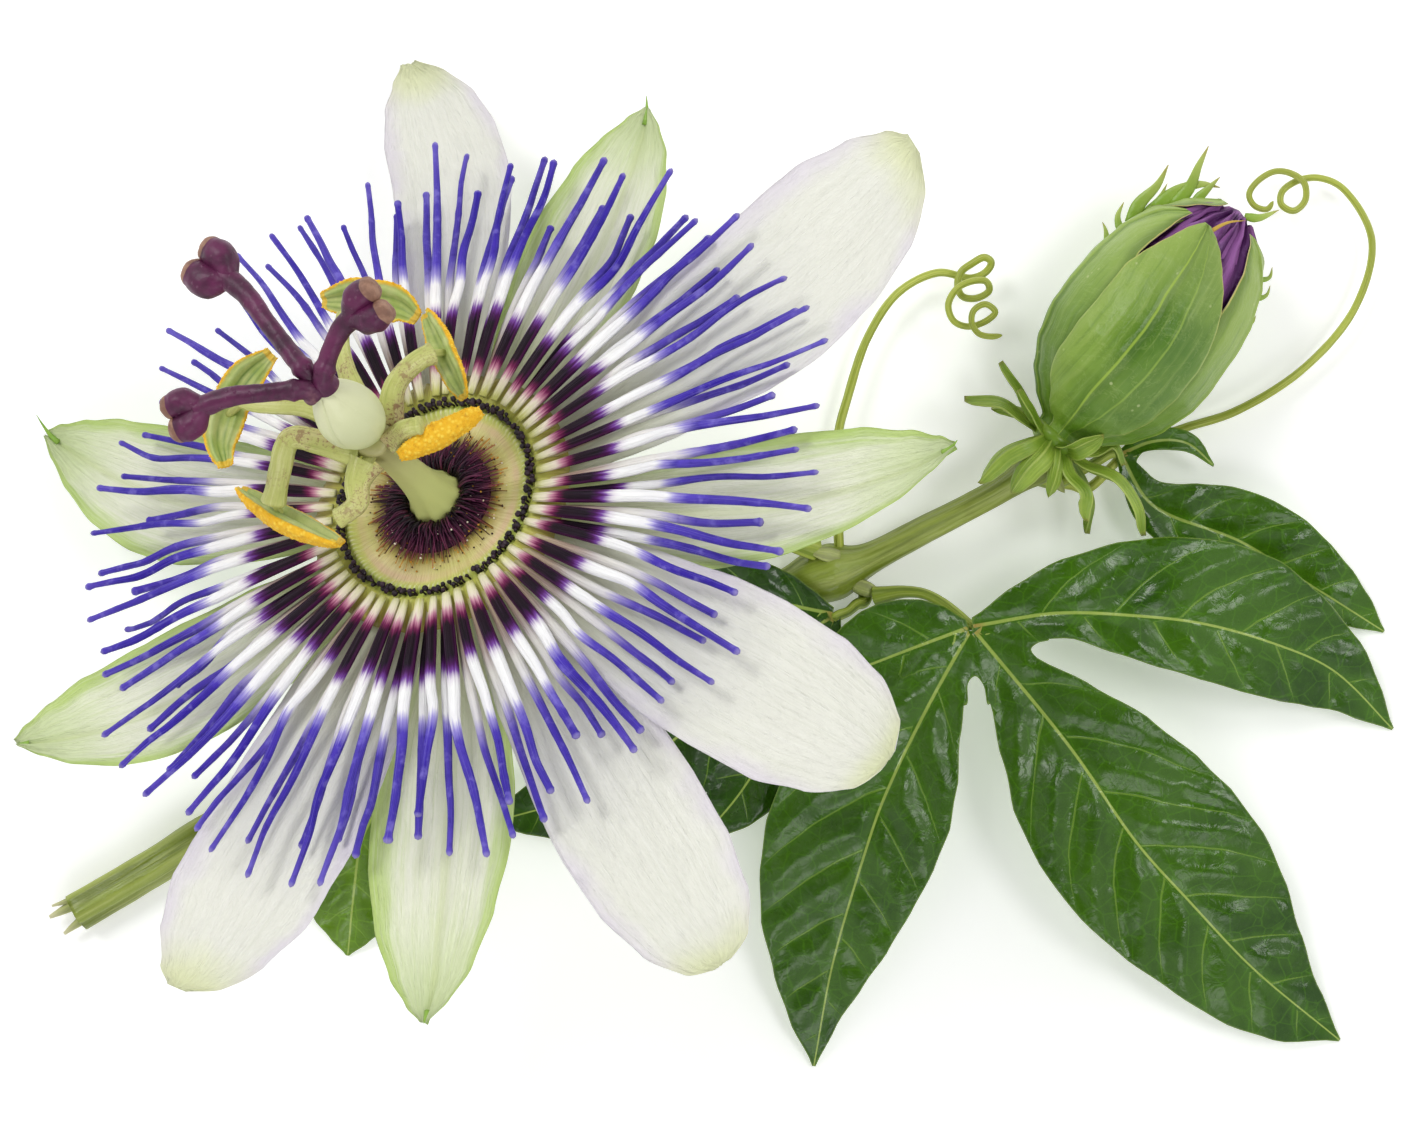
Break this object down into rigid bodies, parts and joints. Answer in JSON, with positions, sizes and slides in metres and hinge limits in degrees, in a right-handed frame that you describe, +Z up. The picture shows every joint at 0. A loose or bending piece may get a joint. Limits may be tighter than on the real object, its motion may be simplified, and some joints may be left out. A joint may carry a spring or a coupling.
{
  "type": "passion flower sprig",
  "caption": "Cut sprig of climbing vine lying on a surface: an open passion flower with a fringe of fine filaments, a closed bud, lobed leaves and coiled tendrils, for display",
  "frame": {"origin": "centre of the footprint's bounding box, on the surface that the sprig lies on", "axes": "+X runs along the vine from its cut end towards the bud, +Y across the sprig towards the tendrils, +Z up from the surface towards the open face of the flower"},
  "size_m": [0.1241, 0.0928, 0.0543],
  "materials": {
    "stem": "matte, finely ridged",
    "leaf": "glossy, wrinkled between the veins",
    "petal": "satin, finely wrinkled",
    "sepal": "satin, white inside with green margins",
    "corona": "matte, banded purple, white and blue",
    "bead": "near black, granular",
    "receptacle": "matte yellow-green",
    "nectary": "dark purple hairs",
    "column": "smooth, pale green",
    "style": "smooth, dark maroon",
    "stamen": "pale green with purple specks",
    "anther": "granular yellow pollen",
    "bud_sepal": "satin green with pale ribs",
    "bud_petal": "matte dark purple",
    "tendril": "smooth yellow-green"
  },
  "bodies": {
    "root": {"anther_1": "anther", "anther_2": "anther", "anther_3": "anther", "anther_4": "anther", "anther_5": "anther", "bead_ring": "bead", "bud_bracts": "bud_sepal", "bud_core": "bud_petal", "bud_sepal_1": "bud_sepal", "bud_sepal_2": "bud_sepal", "bud_sepal_3": "bud_sepal", "bud_sepal_4": "bud_sepal", "bud_sepal_5": "bud_sepal", "column": "column", "corona_lower": "corona", "corona_upper": "corona", "leaf_a": "leaf", "leaf_b": "leaf", "leaf_c": "leaf", "leaf_d": "leaf", "nectary_disc": "nectary", "ovary": "column", "peduncle": "stem", "petal_1": "petal", "petal_2": "petal", "petal_3": "petal", "petal_4": "petal", "petal_5": "petal", "petiole_a": "stem", "petiole_b": "stem", "petiole_c": "stem", "petiole_d": "stem", "receptacle": "receptacle", "sepal_1": "sepal", "sepal_2": "sepal", "sepal_3": "sepal", "sepal_4": "sepal", "sepal_5": "sepal", "stamen_filament_1": "stamen", "stamen_filament_2": "stamen", "stamen_filament_3": "stamen", "stamen_filament_4": "stamen", "stamen_filament_5": "stamen", "stamen_filament_6": "stamen", "style_1": "style", "style_2": "style", "style_3": "style", "tendril_left": "tendril", "tendril_right": "tendril", "vine_stem": "stem"}
  },
  "joints": []
}
